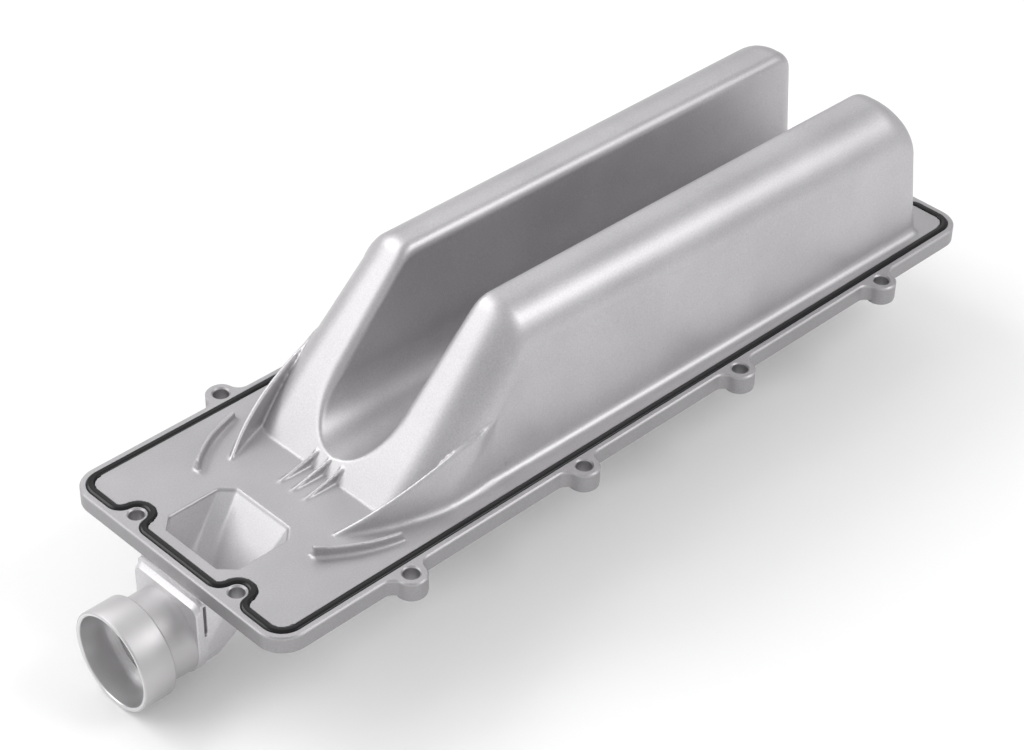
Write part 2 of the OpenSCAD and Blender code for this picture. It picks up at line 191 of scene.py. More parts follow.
# Body of the casting, inside the seal's groove: the middle of the flange, two hollow
# humps over it, the fins and ribs that stiffen their foot, and the pocket that sinks to
# the hose duct. It is one piece of metal, so every foot runs out in a fillet.
MM = 0.001
HOLE_INSET = 8.0
PLATE_LENGTH, PLATE_WIDTH, PLATE_THICK = 400.0, 127.0, 8.0
CORNER = 12.0
END_HOLE_SPAN = 60.0
SEAL_INSET, SEAL_LOOP, SEAL_ROOT = 4.2, 6.0, 5.0
GROOVE_HALF = 1.7


def arc(cx, cy, r, start, end, steps):
    return [(cx + r * math.cos(math.radians(start + (end - start) * i / steps)),
             cy + r * math.sin(math.radians(start + (end - start) * i / steps)))
            for i in range(steps + 1)]


def without_repeats(path):
    return [p for i, p in enumerate(path) if math.dist(p, path[i - 1]) > 0.01]


def seal_line():
    """Centreline of the seal: round each end hole and each corner of the flange."""
    rise = math.sqrt((SEAL_ROOT + SEAL_LOOP) ** 2 - (SEAL_INSET + SEAL_ROOT - HOLE_INSET) ** 2)
    turn = math.degrees(math.atan2(rise, SEAL_INSET + SEAL_ROOT - HOLE_INSET))
    middle = END_HOLE_SPAN / 2
    quarter = ([(SEAL_INSET, 0.0)]
               + arc(SEAL_INSET + SEAL_ROOT, middle - rise, SEAL_ROOT, 180, 180 - turn, 12)
               + arc(HOLE_INSET, middle, SEAL_LOOP, -turn, turn, 28)
               + arc(SEAL_INSET + SEAL_ROOT, middle + rise, SEAL_ROOT, 180 + turn, 180, 12)
               + arc(CORNER, PLATE_WIDTH / 2 - CORNER, CORNER - SEAL_INSET, 180, 90, 14))
    half = quarter + [(PLATE_LENGTH - x, y) for x, y in reversed(quarter)]
    return without_repeats(half + [(x, -y) for x, y in reversed(half)])


def beside(path, distance):
    """The closed path moved sideways, inwards for a clockwise path."""
    p = np.array(path)
    run_in = p - np.roll(p, 1, axis=0)
    run_in /= np.linalg.norm(run_in, axis=1)[:, None]
    run_out = np.roll(run_in, -1, axis=0)
    middle = run_in + run_out
    middle /= np.linalg.norm(middle, axis=1)[:, None]
    stretch = 1 / np.sum(middle * run_in, axis=1)
    return p + distance * stretch[:, None] * np.stack([middle[:, 1], -middle[:, 0]], axis=1)


def solid(name, points, faces, material=None):
    """A mesh object from points in millimetres, measured from the flange's front edge."""
    mesh = bpy.data.meshes.new(name)
    moved = (np.array(points, dtype=float) - (HOLE_INSET, 0.0, 0.0)) * MM
    mesh.from_pydata(moved.tolist(), [], faces)
    shaped = bmesh.new()
    shaped.from_mesh(mesh)
    bmesh.ops.remove_doubles(shaped, verts=shaped.verts, dist=1e-7)
    bmesh.ops.recalc_face_normals(shaped, faces=shaped.faces)
    shaped.to_mesh(mesh)
    shaped.free()
    made = bpy.data.objects.new(name, mesh)
    bpy.context.scene.collection.objects.link(made)
    if material:
        mesh.materials.append(material)
    return made


def loft(name, rings):
    """A closed solid through rings of points; each end is closed by two fans."""
    n, m = len(rings[0]), len(rings)
    mid = (n - 1) // 2
    points = np.concatenate([np.asarray(ring, float) for ring in rings])
    faces = [(i * n + j, i * n + (j + 1) % n, (i + 1) * n + (j + 1) % n, (i + 1) * n + j)
             for i in range(m - 1) for j in range(n)]
    fan = ([(0, j, j + 1) for j in range(1, mid)]
           + [(n - 1, j, j + 1) for j in range(mid, n - 2)] + [(0, mid, n - 1)])
    last = (m - 1) * n
    faces += [(c, b, a) for a, b, c in fan]
    faces += [(last + a, last + b, last + c) for a, b, c in fan]
    return solid(name, points, faces)


def prism(name, outline, low, high):
    """A flat outline raised from one height to another."""
    n = len(outline)
    points = [(x, y, low) for x, y in outline] + [(x, y, high) for x, y in outline]
    faces = [tuple(range(n))[::-1], tuple(range(n, 2 * n))]
    faces += [(i, (i + 1) % n, n + (i + 1) % n, n + i) for i in range(n)]
    return solid(name, points, faces)


def hull(name, points):
    """The tightest solid round some points, in millimetres as in solid."""
    wrapped = bmesh.new()
    moved = (np.array(points, dtype=float) - (HOLE_INSET, 0.0, 0.0)) * MM
    for p in moved:
        wrapped.verts.new(p)
    bmesh.ops.convex_hull(wrapped, input=wrapped.verts)
    loose = [v for v in wrapped.verts if not v.link_faces]
    bmesh.ops.delete(wrapped, geom=loose, context="VERTS")
    bmesh.ops.recalc_face_normals(wrapped, faces=wrapped.faces)
    mesh = bpy.data.meshes.new(name)
    wrapped.to_mesh(mesh)
    wrapped.free()
    made = bpy.data.objects.new(name, mesh)
    bpy.context.scene.collection.objects.link(made)
    return made


def smooth(piece, degrees):
    """Shades a piece smooth, with a crease wherever it turns more than this."""
    piece.data.polygons.foreach_set("use_smooth", [True] * len(piece.data.polygons))
    piece.data.set_sharp_from_angle(angle=math.radians(degrees))


def settle(piece):
    """Turns a piece and its modifiers into a plain mesh."""
    bpy.context.view_layer.update()
    graph = bpy.context.evaluated_depsgraph_get()
    mesh = bpy.data.meshes.new_from_object(piece.evaluated_get(graph))
    piece.modifiers.clear()
    old = piece.data
    piece.data = mesh
    bpy.data.meshes.remove(old)


def combine(base, tools, operation):
    """Joins tools to a piece, or cuts them out of it, and uses them up."""
    for tool in tools:
        cut = base.modifiers.new("join", "BOOLEAN")
        cut.operation = operation
        cut.solver = "MANIFOLD"
        cut.object = tool
        settle(base)
        bpy.data.objects.remove(tool)


HUMP_TOP, HUMP_FALL = 66.5, 2.8
RAMP_FOOT, RAMP_SLOPE = 75.4, math.radians(46.0)
REAR_FACE = 378.7
HALF_FRONT, HALF_REAR = 48.0, 53.0
OUTER_LEAN, VALLEY_LEAN = math.tan(math.radians(5.0)), math.tan(math.radians(2.5))
REAR_LEAN = math.tan(math.radians(3.0))
SHOULDER_FRONT, SHOULDER_REAR, VALLEY_SHOULDER = 17.0, 21.0, 5.0
KNEE_ROUND, REAR_TOP_ROUND = 12.0, 15.0
REAR_CORNER, VALLEY_CORNER = 4.0, 11.0
VALLEY_ROUND, VALLEY_FLOOR = 18.0, 5.5
WALL = 3.0
FOOT_ROUND = 3.6
SUNK = -2.0
SECTION_POINTS = 110


def clip(t):
    return max(0.0, min(1.0, t))


def mix(a, b, t):
    return a + (b - a) * t


def knee(inset):
    """Where the ramp starts, where it meets the crest, and how far their round reaches."""
    foot = RAMP_FOOT + inset / math.sin(RAMP_SLOPE)
    return (foot, foot + (HUMP_TOP - inset) / math.tan(RAMP_SLOPE),
            (KNEE_ROUND - inset) * math.tan(RAMP_SLOPE / 2))


def crest(x, inset):
    """Height and slope of the humps' crest at x, for a skin set in by inset."""
    foot, corner, run = knee(inset)
    front = knee(0.0)[1]
    fall = HUMP_FALL * clip((x - front) / (REAR_FACE - front))
    if x < corner - run * math.cos(RAMP_SLOPE):
        return (x - foot) * math.tan(RAMP_SLOPE), RAMP_SLOPE
    if x < corner + run:
        r, back = KNEE_ROUND - inset, corner + run - x
        return HUMP_TOP - KNEE_ROUND + math.sqrt(max(0.0, r * r - back * back)), math.asin(back / r)
    level = HUMP_TOP - inset - fall
    if x < REAR_FACE - REAR_TOP_ROUND:
        return level, 0.0
    r, over = REAR_TOP_ROUND - inset, x - REAR_FACE + REAR_TOP_ROUND
    return level - r + math.sqrt(max(0.0, r * r - over * over)), 0.0


def drawn_in(x, inset, corner):
    """How far a wall draws in at x, round a corner of the rear face."""
    r, over = corner - inset, x - REAR_FACE + corner
    return 0.0 if over < 0 else r - math.sqrt(max(0.0, r * r - over * over))


def flare(z, r):
    """How far a foot of radius r stands out from its wall at height z."""
    return r - math.sqrt(max(0.0, r * r - (r - z) ** 2)) if 0 <= z < r else (r if z < 0 else 0.0)


def half_section(x, inset, low, foot):
    """Section of one hump at x, from the foot of its wall to the middle of the valley."""
    h, slope = crest(x, inset)
    along = clip((x - RAMP_FOOT) / (REAR_FACE - RAMP_FOOT))
    wall = mix(HALF_FRONT, HALF_REAR, along) - inset - drawn_in(x, inset, REAR_CORNER)
    r = VALLEY_ROUND + inset + drawn_in(x, inset, VALLEY_CORNER)
    fillet = VALLEY_SHOULDER - inset
    room = wall - OUTER_LEAN * h - r - fillet - h * VALLEY_LEAN
    shoulder = min(mix(SHOULDER_FRONT, SHOULDER_REAR, along) - inset, max(2.0, room))
    tall = shoulder / math.cos(slope)
    centre_z = h - tall
    centre_y = wall - OUTER_LEAN * max(0.0, centre_z) - shoulder
    foot *= clip((h - 6) / 14)
    line = []
    for z in np.linspace(low, max(low, centre_z), 60 if centre_z > low else 1):
        y = wall - OUTER_LEAN * z
        if centre_z <= low:
            y = centre_y + shoulder * math.sqrt(max(0.0, 1 - ((z - centre_z) / tall) ** 2))
        line.append((y + (flare(z, foot) if foot > 0 else 0.0), z))
    start = math.asin(clip((low - centre_z) / tall))
    for a in np.linspace(start, math.pi / 2, 28)[1:]:
        z = centre_z + tall * math.sin(a)
        line.append((centre_y + shoulder * math.cos(a)
                     + (flare(z, foot) if foot > 0 and z < foot else 0.0), z))
    centre = VALLEY_FLOOR + VALLEY_ROUND
    reach = r + fillet
    drop = centre - (h - fillet)
    if drop > reach - 0.01:
        line.append((0.0, h))
    else:
        turn = math.asin(drop / reach) if drop > 0 else 0.0
        side = reach * math.cos(turn) if drop > 0 else reach - drop * VALLEY_LEAN
        for a in np.linspace(math.pi / 2, math.pi - turn, 14):
            line.append((side + fillet * math.cos(a), h - fillet + fillet * math.sin(a)))
        for a in np.linspace(-turn, -math.pi / 2, 40)[1:]:
            line.append((r * math.cos(a), centre + r * math.sin(a)))
    line = np.array(line)
    steps = np.concatenate([[0], np.cumsum(np.linalg.norm(np.diff(line, axis=0), axis=1))])
    even = np.linspace(0, steps[-1], SECTION_POINTS)
    return np.stack([np.interp(even, steps, line[:, i]) for i in (0, 1)], axis=1)


def hump_skin(name, inset, low, first, foot):
    """Both humps as one solid, set in by inset and reaching down to low."""
    start, corner, run = knee(inset)
    lip = start + (VALLEY_FLOOR - inset) / math.tan(RAMP_SLOPE)
    bend = corner - run * math.cos(RAMP_SLOPE)
    stations = np.concatenate([
        [start + first / math.tan(RAMP_SLOPE)], np.linspace(start + 0.3, lip, 7),
        lip + (bend - lip) * np.linspace(0, 1, 40)[1:] ** 1.3,
        np.linspace(bend, corner + run, 16)[1:],
        np.linspace(corner + run, REAR_FACE - REAR_TOP_ROUND, 24)[1:],
        REAR_FACE - REAR_TOP_ROUND
        + (REAR_TOP_ROUND - inset) * np.sin(np.linspace(0, math.pi / 2, 26)[1:])])
    rings = []
    for x in stations:
        half = half_section(x, inset, low, foot)
        follow = clip((x - REAR_FACE + 60) / 60) * REAR_LEAN
        ring = [(x - z * follow, y, z) for y, z in half]
        ring += [(px, -y, z) for px, y, z in ring[-2::-1]]
        rings.append(ring)
    return loft(name, rings)


body = prism("casting_body", beside(seal_line(), GROOVE_HALF), -PLATE_THICK, 0.0)
added = [hump_skin("humps", 0.0, SUNK, -1.0, FOOT_ROUND)]

# Side fins: thin curved webs, cast with the body, that climb from the flange to the side
# of each hump and end in a ridge that stands a little proud of its skin.
FIN_TIP, FIN_LENGTH, FIN_HEIGHT = (54.2, 30.3), 60.0, 25.0
FIN_BEND, FIN_RUN_OUT = 0.41, 1.2
RIB_THICK, RIDGE_ROUND, RIDGE_PROUD = 1.9, 0.8, 0.9
SINK_START, SINK_RATE = 1.02, 14


def bezier(a, b, c, t):
    return (1 - t) ** 2 * a + 2 * t * (1 - t) * b + t * t * c


def skin_y(x, z):
    """How far out a hump's outer skin lies at x and height z."""
    h, slope = crest(x, 0.0)
    along = clip((x - RAMP_FOOT) / (REAR_FACE - RAMP_FOOT))
    shoulder = mix(SHOULDER_FRONT, SHOULDER_REAR, along)
    tall = shoulder / math.cos(slope)
    centre_z = h - tall
    wall = mix(HALF_FRONT, HALF_REAR, along)
    rise = (z - centre_z) / tall
    if rise >= 1:
        return 0.0
    if rise < 0:
        return wall - OUTER_LEAN * z
    return (wall - OUTER_LEAN * max(0.0, centre_z) - shoulder
            + shoulder * math.sqrt(1 - rise * rise))


def ridge_in(z):
    """How far a ridge's rounded corner draws in at height z above its spring line."""
    return RIDGE_ROUND - math.sqrt(max(0.0, RIDGE_ROUND ** 2 - max(0.0, z) ** 2))


def fin(side):
    """One fin: a web that leans on the hump, then a low ridge that sinks into its skin."""
    end = FIN_TIP[0] + FIN_LENGTH
    foot_end = skin_y(end, 0.0) + 0.5
    top_end = skin_y(end, FIN_HEIGHT) - 0.45
    rings = []
    for t in np.linspace(0, FIN_RUN_OUT, 72):
        past = max(0.0, t - SINK_START)
        x = bezier(FIN_TIP[0], FIN_TIP[0] + FIN_BEND * FIN_LENGTH, end, t)
        height = FIN_HEIGHT * t * (1.1 - 0.1 * t)
        foot = (bezier(FIN_TIP[1] + RIB_THICK / 2, foot_end + 1.6, foot_end, min(1.0, t))
                - 4 * max(0.0, t - 1.0))
        top = bezier(FIN_TIP[1], top_end - 0.3, top_end, min(1.0, t))
        top = max(top, skin_y(x, height) + RIDGE_PROUD) - SINK_RATE * past
        clear = 0.15 - 2.2 * clip(t - 0.8)
        over = RIDGE_ROUND * np.sin(np.linspace(0, math.pi / 2, 8))
        shoulder_z = height - RIDGE_ROUND
        outer = []
        for z in np.concatenate([np.linspace(SUNK, shoulder_z, 16)[:-1], shoulder_z + over]):
            share = (z - SUNK) / (height - SUNK)
            web, skin = mix(foot, top + RIB_THICK / 2, share), skin_y(x, z)
            soft, gap = 1 - share ** 3, web - skin - clear
            apart = (web + skin + clear + math.sqrt(gap * gap + soft * soft)) / 2
            close = skin + mix(foot - skin_y(x, 0.0), top + RIB_THICK / 2 - skin_y(x, height),
                               share ** 4)
            y = mix(apart, close, clip((t - 0.82) / 0.18))
            blend = min(3.4, height + 0.4) * (0.3 + 0.7 * clip(t))
            fillet = flare(z, blend) * clip(4.5 - 3.4 * t)
            outer.append((x, y + fillet - ridge_in(z - shoulder_z), z))
        inner = [(x, top - RIB_THICK / 2 - 0.1 * (height - z) * clip(1 - t)
                  + ridge_in(z - shoulder_z), z)
                 for z in np.concatenate([shoulder_z + over[::-1],
                                          np.linspace(shoulder_z, SUNK, 8)[1:]])]
        rings.append([(px, y * side, z) for px, y, z in outer + inner])
    return loft("fin", rings)


added += [fin(1), fin(-1)]

# Short ribs: low curved webs, cast with the body, that stiffen the flange beside the fins
# and are blunt at both ends.
SHORT_START, SHORT_LENGTH = (41.2, 34.2), 31.5
SHORT_HEIGHT, SHORT_END_HEIGHT = 5.0, 3.6
SHORT_FILLET, DRAFT = 1.2, 0.05


def short_rib(side):
    """One short rib, with a fillet along each side of its foot."""
    rings = []
    for t in np.linspace(0, 1, 36):
        x = bezier(SHORT_START[0], SHORT_START[0] + 0.43 * SHORT_LENGTH,
                   SHORT_START[0] + SHORT_LENGTH, t)
        y = bezier(SHORT_START[1], SHORT_START[1] + 0.38 * SHORT_LENGTH,
                   SHORT_START[1] + SHORT_LENGTH / 2, t)
        top = mix(SHORT_HEIGHT, SHORT_END_HEIGHT, t)
        half = [(RIB_THICK / 2 + DRAFT * (top - z) + flare(z, SHORT_FILLET), z)
                for z in np.linspace(SUNK, top, 14)]
        ring = [(x, y + w, z) for w, z in half] + [(x, y - w, z) for w, z in half[::-1]]
        rings.append([(px, py * side, z) for px, py, z in ring])
    return loft("short_rib", rings)


added += [short_rib(1), short_rib(-1)]

# Gussets: three small triangles that tie the foot of the ramp to the flange, set out
# side by side from one pattern.
GUSSET_COUNT, GUSSET_PITCH, GUSSET_THICK = 3, 7.4, 1.5
GUSSET_LENGTH, GUSSET_HEIGHT, GUSSET_FILLET = 16.4, 5.0, 0.8


def node_tree(name, inputs):
    """A Geometry Nodes tree with named number inputs; gives the tree and its ends."""
    tree = bpy.data.node_groups.new(name, "GeometryNodeTree")
    tree.interface.new_socket("Geometry", in_out="INPUT", socket_type="NodeSocketGeometry")
    for label, kind in inputs:
        tree.interface.new_socket(label, in_out="INPUT", socket_type=kind)
    tree.interface.new_socket("Geometry", in_out="OUTPUT", socket_type="NodeSocketGeometry")
    return tree, tree.nodes.new("NodeGroupInput"), tree.nodes.new("NodeGroupOutput")


def wire(tree, kind, settings, inputs):
    """Adds one node; an input is a value or another node's output socket."""
    made = tree.nodes.new(kind)
    for key, value in settings.items():
        setattr(made, key, value)
    for key, value in inputs.items():
        if isinstance(value, bpy.types.NodeSocket):
            tree.links.new(value, made.inputs[key])
        else:
            made.inputs[key].default_value = value
    return made


def lay_copies(tree, start, end, points):
    """Ends a tree with a copy of Pattern on each point, made real and given its Metal."""
    shape = wire(tree, "GeometryNodeObjectInfo", {}, {"Object": start.outputs["Pattern"]})
    copies = wire(tree, "GeometryNodeInstanceOnPoints", {},
                  {"Points": points, "Instance": shape.outputs["Geometry"]})
    real = wire(tree, "GeometryNodeRealizeInstances", {}, {"Geometry": copies.outputs[0]})
    coat = wire(tree, "GeometryNodeSetMaterial", {},
                {"Geometry": real.outputs[0], "Material": start.outputs["Metal"]})
    tree.links.new(coat.outputs[0], end.inputs[0])


def run_tree(piece, tree, values):
    """Puts the tree on a piece, sets its named inputs, and settles the result."""
    works = piece.modifiers.new(tree.name, "NODES")
    works.node_group = tree
    for item in tree.interface.items_tree:
        if item.in_out == "INPUT" and item.name in values:
            works[item.identifier] = values[item.name]
    settle(piece)


gusset_run = GUSSET_LENGTH + GUSSET_HEIGHT / math.tan(RAMP_SLOPE)
gusset_x = RAMP_FOOT - GUSSET_LENGTH
gusset_rings = []
for t in np.linspace(0, 1, 24):
    top = GUSSET_HEIGHT * t
    half = [(GUSSET_THICK / 2 + DRAFT * (top - z)
             + flare(z, min(GUSSET_FILLET, top + 0.05)) * 0.8, z)
            for z in np.linspace(SUNK, top + 0.02, 10)]
    x = gusset_x + gusset_run * t
    gusset_rings.append([(x, w, z) for w, z in half] + [(x, -w, z) for w, z in half[::-1]])
pattern_gusset = loft("pattern_gusset", gusset_rings)
tree, start, end = node_tree("gussets", [("Count", "NodeSocketInt"),
                                         ("Pitch", "NodeSocketFloat"),
                                         ("Pattern", "NodeSocketObject"),
                                         ("Metal", "NodeSocketMaterial")])
offset = wire(tree, "ShaderNodeCombineXYZ", {}, {"Y": start.outputs["Pitch"]})
span = wire(tree, "ShaderNodeMath", {"operation": "SUBTRACT"},
            {0: start.outputs["Count"], 1: 1.0})
width = wire(tree, "ShaderNodeMath", {"operation": "MULTIPLY"},
             {0: span.outputs[0], 1: start.outputs["Pitch"]})
centred = wire(tree, "ShaderNodeMath", {"operation": "MULTIPLY"},
               {0: width.outputs[0], 1: -0.5})
corner = wire(tree, "ShaderNodeCombineXYZ", {}, {"Y": centred.outputs[0]})
row = wire(tree, "GeometryNodeMeshLine", {}, {"Count": start.outputs["Count"],
                                              "Start Location": corner.outputs[0],
                                              "Offset": offset.outputs[0]})
lay_copies(tree, start, end, row.outputs[0])
gussets = solid("gussets", [(0, 0, 0)], [])
run_tree(gussets, tree, {"Count": GUSSET_COUNT, "Pitch": GUSSET_PITCH * MM,
                         "Pattern": pattern_gusset, "Metal": CAST})
bpy.data.objects.remove(pattern_gusset)
added.append(gussets)

# Duct under the flange: a block cast round the pocket and the bore that leads to the
# hose socket. A narrow slot on each side parts it from the shoulder in front.
SOCKET_DROP = 32.0
DUCT_ROUND, NECK_ROUND, DUCT_WALL, DUCT_TURN = 15.0, 18.2, 3.0, 7.5
MOUTH_FRONT, MOUTH_LENGTH, MOUTH_WIDTH, MOUTH_CORNER = 11.3, 34.4, 41.0, 5.0
SLOT_FRONT, SLOT_BACK, SLOT_FOOT, SLOT_ROOF = 0.1, 1.7, 25.5, 2.6


def mouth(grow):
    """Outline of the pocket's mouth in the flange, widened all round."""
    x0, x1 = MOUTH_FRONT - grow, MOUTH_FRONT + MOUTH_LENGTH + grow
    y, c = MOUTH_WIDTH / 2 + grow, MOUTH_CORNER
    return [(x0 + c, -y), (x1 - c, -y), (x1, c - y), (x1, y - c),
            (x1 - c, y), (x0 + c, y), (x0, y - c), (x0, c - y)]


def ring_x(x, r, count=48):
    """A circle across the duct's axis."""
    return [(x, r * math.cos(a), r * math.sin(a) - SOCKET_DROP)
            for a in np.linspace(0, 2 * math.pi, count, endpoint=False)]


block = hull("block", ring_x(0.0, NECK_ROUND) + ring_x(DUCT_TURN + DUCT_WALL / 2, NECK_ROUND)
             + [(max(0.0, x), y, 1.0 - PLATE_THICK) for x, y in mouth(DUCT_WALL - 1)]
             + [(max(0.0, x), y, -PLATE_THICK) for x, y in mouth(DUCT_WALL - 1)]
             + [(0.0, side * NECK_ROUND, z) for side in (-1, 1)
                for z in (-PLATE_THICK, 1.0 - PLATE_THICK)])
added.append(block)
combine(body, added, "UNION")
pocket = hull("pocket", [(x, y, z) for x, y in mouth(0.0) for z in (0.0, 2.0)]
              + ring_x(DUCT_TURN - DUCT_WALL, DUCT_ROUND - 0.5)
              + ring_x(DUCT_TURN, DUCT_ROUND - 0.5))
duct = loft("duct", [ring_x(-5.0, DUCT_ROUND, 64), ring_x(DUCT_TURN - 1, DUCT_ROUND, 64)])


def side_slot(side):
    """The cutter of one slot between the block and its front shoulder."""
    y0, y1 = sorted((side * (NECK_ROUND - 3.2), side * (NECK_ROUND + 4.0)))
    corners = [(SLOT_FRONT, y0), (SLOT_BACK, y0), (SLOT_BACK, y1), (SLOT_FRONT, y1)]
    return prism("side_slot", corners, -SLOT_FOOT, -PLATE_THICK - SLOT_ROOF)


cavity = hump_skin("cavity", WALL, -PLATE_THICK - 2, -PLATE_THICK - 1, 0.0)
combine(body, [cavity, pocket, duct, side_slot(1), side_slot(-1)], "DIFFERENCE")

# The die's fillets: the body is drawn again on a fine grid and relaxed, which rounds
# every edge and foot. Along the groove, where a cutter left it crisp, nothing is relaxed,
# and the thin webs are relaxed less than the rest, fading towards WEB_END.
GRID, RELAX_STEPS = 0.6, 4
CRISP = 2.2
WEB_START, WEB_END, WEB_FOOT, WEB_TOP = 36, 134.0, 0.2, 34
WEB_RELAX, FIN_RELAX = 0.2, 0.7
GUSSET_ZONE, ZONE_FADE, END_FADE = 9, 8, 16
BAND_SIDE, BAND_END, BAND_TOP = 54, 22, 0.5
BODY_TRIANGLES = 190000

grid = body.modifiers.new("grid", "REMESH")
grid.mode = "VOXEL"
grid.voxel_size = GRID * MM
settle(body)
places = np.empty(len(body.data.vertices) * 3)
body.data.vertices.foreach_get("co", places)
places = places.reshape(-1, 3) / MM + (HOLE_INSET, 0.0, 0.0)
edge_line = np.array(beside(seal_line(), GROOVE_HALF))
dense = np.concatenate([
    np.linspace(a, b, max(2, int(math.dist(a, b) / 1.5)), endpoint=False)
    for a, b in zip(edge_line, np.roll(edge_line, -1, axis=0))])
by_side = np.abs(places[:, 1]) > BAND_SIDE
by_end = (places[:, 0] < BAND_END) | (places[:, 0] > PLATE_LENGTH - BAND_END)
near = np.nonzero((places[:, 2] < BAND_TOP) & (by_side | by_end))[0]
gap = np.full(len(places), 99.0)
for some in np.array_split(near, max(1, len(near) // 4000)):
    gap[some] = np.sqrt(((places[some, None, :2] - dense[None]) ** 2).sum(-1)).min(axis=1)
soft = body.vertex_groups.new(name="soft")
soft.add(np.nonzero(gap > CRISP)[0].tolist(), 1.0, "REPLACE")
webs = (places[:, 0] > WEB_START) & (places[:, 0] < WEB_END)
webs &= (places[:, 2] > WEB_FOOT) & (places[:, 2] < WEB_TOP)
aside = np.clip((np.abs(places[:, 1]) - GUSSET_ZONE) / ZONE_FADE, 0, 1)
along = np.clip((places[:, 0] - WEB_END + END_FADE) / END_FADE, 0, 1)
held = WEB_RELAX + (FIN_RELAX - WEB_RELAX) * aside
held = np.round(held + (1 - held) * along, 1)
for weight in np.unique(held[webs]):
    soft.add(np.nonzero(webs & (held == weight))[0].tolist(), float(weight), "REPLACE")
relax = body.modifiers.new("relax", "SMOOTH")
relax.factor, relax.iterations, relax.vertex_group = 0.5, RELAX_STEPS, "soft"
settle(body)
body.data.calc_loop_triangles()
thin = body.modifiers.new("thin", "DECIMATE")
thin.ratio = min(1.0, BODY_TRIANGLES / len(body.data.loop_triangles))
settle(body)
body.vertex_groups.clear()
smooth(body, 50)
weigh = body.modifiers.new("weigh", "WEIGHTED_NORMAL")
weigh.keep_sharp = True
settle(body)
body.data.materials.clear()
body.data.materials.append(CAST)
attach(body, "root")
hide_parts("housing")

# Flange rim outside the groove: machined flat on top, with a broken edge all round, eight
# bolt lugs on its long sides and a pair of bolt holes at each end.
LUG_ROUND, LUG_OUT, LUG_ROOT, LUG_HOLE, LUG_PITCH = 6.5, 2.8, 5.0, 3.4, 92.0
LUG_THICK = 9.2
RIGHT_LUGS, LEFT_LUGS = 62.0, 79.0
END_HOLE = 3.2
HOLE_BEVEL, EDGE_BEVEL = 0.6, 0.55
GROOVE_DEPTH, GROOVE_BEVEL = 2.3, 0.15
HALF_WIDTH = PLATE_WIDTH / 2


def side_outline(first_lug):
    """One long side of the flange, with its four lugs, and the corners at its ends."""
    root_y = LUG_ROOT - LUG_OUT
    root_x = math.sqrt((LUG_ROUND + LUG_ROOT) ** 2 - root_y ** 2)
    turn = math.degrees(math.acos(root_x / (LUG_ROUND + LUG_ROOT)))
    centre = HALF_WIDTH + LUG_OUT
    line = arc(PLATE_LENGTH - CORNER, HALF_WIDTH - CORNER, CORNER, 0, 90, 16)
    for i in (3, 2, 1, 0):
        x = first_lug + i * LUG_PITCH
        line += arc(x + root_x, centre + root_y, LUG_ROOT, -90, turn - 180, 10)
        line += arc(x, centre, LUG_ROUND, turn, 180 - turn, 28)
        line += arc(x - root_x, centre + root_y, LUG_ROOT, -turn, -90, 10)
    return line + arc(CORNER, HALF_WIDTH - CORNER, CORNER, 90, 180, 16)


class Sheet:
    """Points and faces of one piece, gathered from walls and flat fills."""

    def __init__(self):
        self.points, self.faces = [], []

    def line(self, outline, z):
        start = len(self.points)
        self.points += [(x, y, z) for x, y in outline]
        return list(range(start, len(self.points)))

    def wall(self, *lines):
        for a, b in zip(lines, lines[1:]):
            n = len(a)
            self.faces += [(a[i], a[(i + 1) % n], b[(i + 1) % n], b[i]) for i in range(n)]

    def fill(self, *lines):
        order = [i for line in lines for i in line]
        loops = [[Vector(self.points[i]) for i in line] for line in lines]
        self.faces += [tuple(order[i] for i in face) for face in tessellate_polygon(loops)]


rim = Sheet()
outline = without_repeats(side_outline(LEFT_LUGS)
                          + [(x, -y) for x, y in reversed(side_outline(RIGHT_LUGS))])
edge = beside(outline, -EDGE_BEVEL)
top_lines, under_lines = [rim.line(edge, 0.0)], [rim.line(edge, -PLATE_THICK)]
rim.wall(top_lines[0], rim.line(outline, -EDGE_BEVEL),
         rim.line(outline, EDGE_BEVEL - PLATE_THICK), under_lines[0])
holes = [(first + i * LUG_PITCH, side * (HALF_WIDTH + LUG_OUT), LUG_HOLE)
         for first, side in ((RIGHT_LUGS, -1), (LEFT_LUGS, 1)) for i in range(4)]
holes += [(x, side * END_HOLE_SPAN / 2, END_HOLE)
          for x in (HOLE_INSET, PLATE_LENGTH - HOLE_INSET) for side in (-1, 1)]
for x, y, r in holes:
    mouth_line = rim.line(arc(x, y, r + HOLE_BEVEL, 0, 360, 40)[:-1], 0.0)
    under_line = rim.line(arc(x, y, r, 0, 360, 40)[:-1], -PLATE_THICK)
    rim.wall(mouth_line, rim.line(arc(x, y, r, 0, 360, 40)[:-1], -HOLE_BEVEL), under_line)
    top_lines.append(mouth_line)
    under_lines.append(under_line)
groove_outer = beside(seal_line(), -GROOVE_HALF)
groove_inner = beside(seal_line(), GROOVE_HALF)
mouth_line = rim.line(beside(seal_line(), -GROOVE_HALF - GROOVE_BEVEL), 0.0)
inner_under = rim.line(groove_inner, -PLATE_THICK)
rim.wall(mouth_line, rim.line(groove_outer, -GROOVE_BEVEL),
         rim.line(groove_outer, -GROOVE_DEPTH), rim.line(groove_inner, -GROOVE_DEPTH),
         inner_under)
rim.fill(*top_lines, mouth_line)
rim.fill(*under_lines, inner_under)
flange = solid("flange_rim", rim.points, rim.faces, RIM)
smooth(flange, 25)
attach(flange, "root")
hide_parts("housing")

# Lug bosses: each lug stands a little below the flange, so that its bolt head seats on a
# small round pad. One turned section, set out at the eight lugs.
BOSS_ROUND = LUG_ROUND - 0.2


